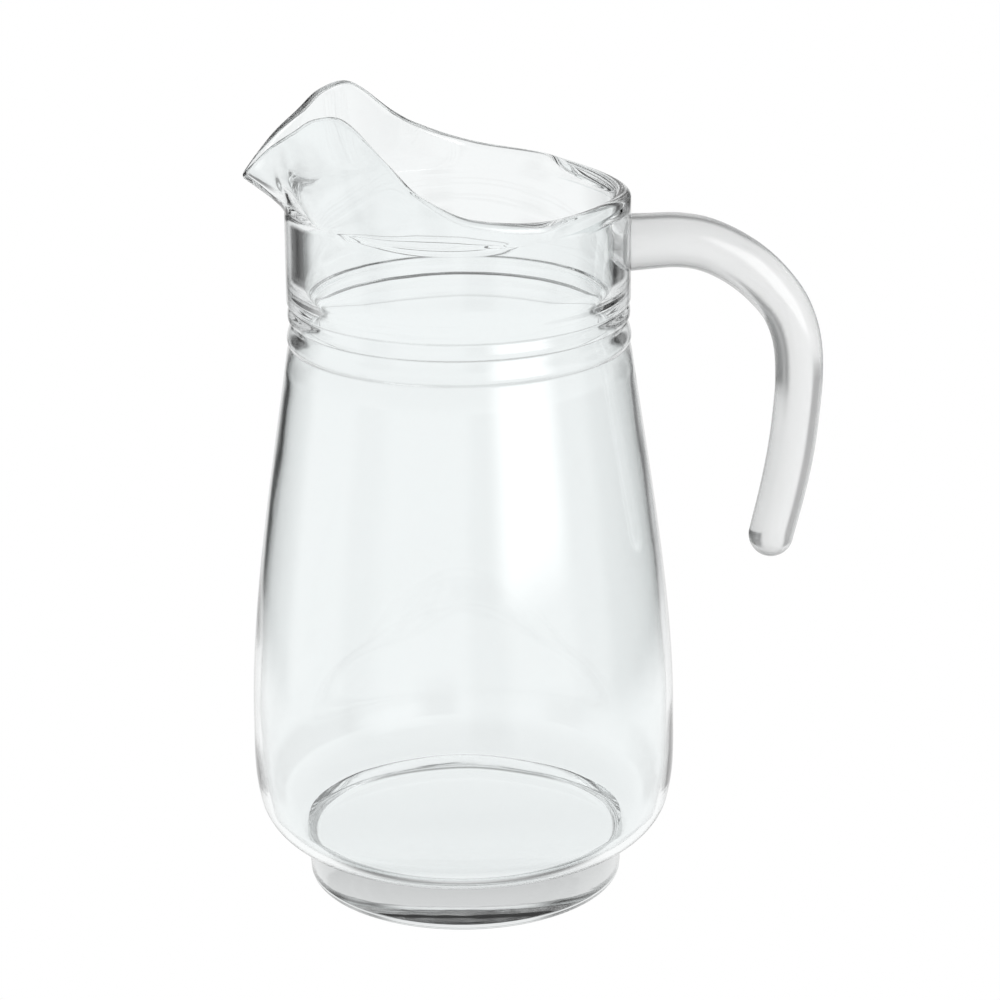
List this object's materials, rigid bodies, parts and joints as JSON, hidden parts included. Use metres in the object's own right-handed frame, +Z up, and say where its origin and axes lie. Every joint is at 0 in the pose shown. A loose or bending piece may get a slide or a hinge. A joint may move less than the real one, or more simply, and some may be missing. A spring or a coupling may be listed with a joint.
{
  "type": "water jug",
  "caption": "Clear glass water jug with a thick round foot, tapering body, pinched ice lip and an open curved glass handle.",
  "frame": {"origin": "where the jug's turning axis meets the plane it stands on", "axes": "+Z up along the turning axis, -X towards the spout, +X towards the handle, +Y to the side"},
  "size_m": [0.1891, 0.141, 0.2677],
  "materials": {
    "vessel_glass": "clear fire-polished soda-lime glass with a faint green-grey tint",
    "handle_glass": "clear fire-polished soda-lime glass, solid rod"
  },
  "bodies": {
    "root": {"jug_body": "vessel_glass", "handle": "handle_glass"}
  },
  "joints": []
}
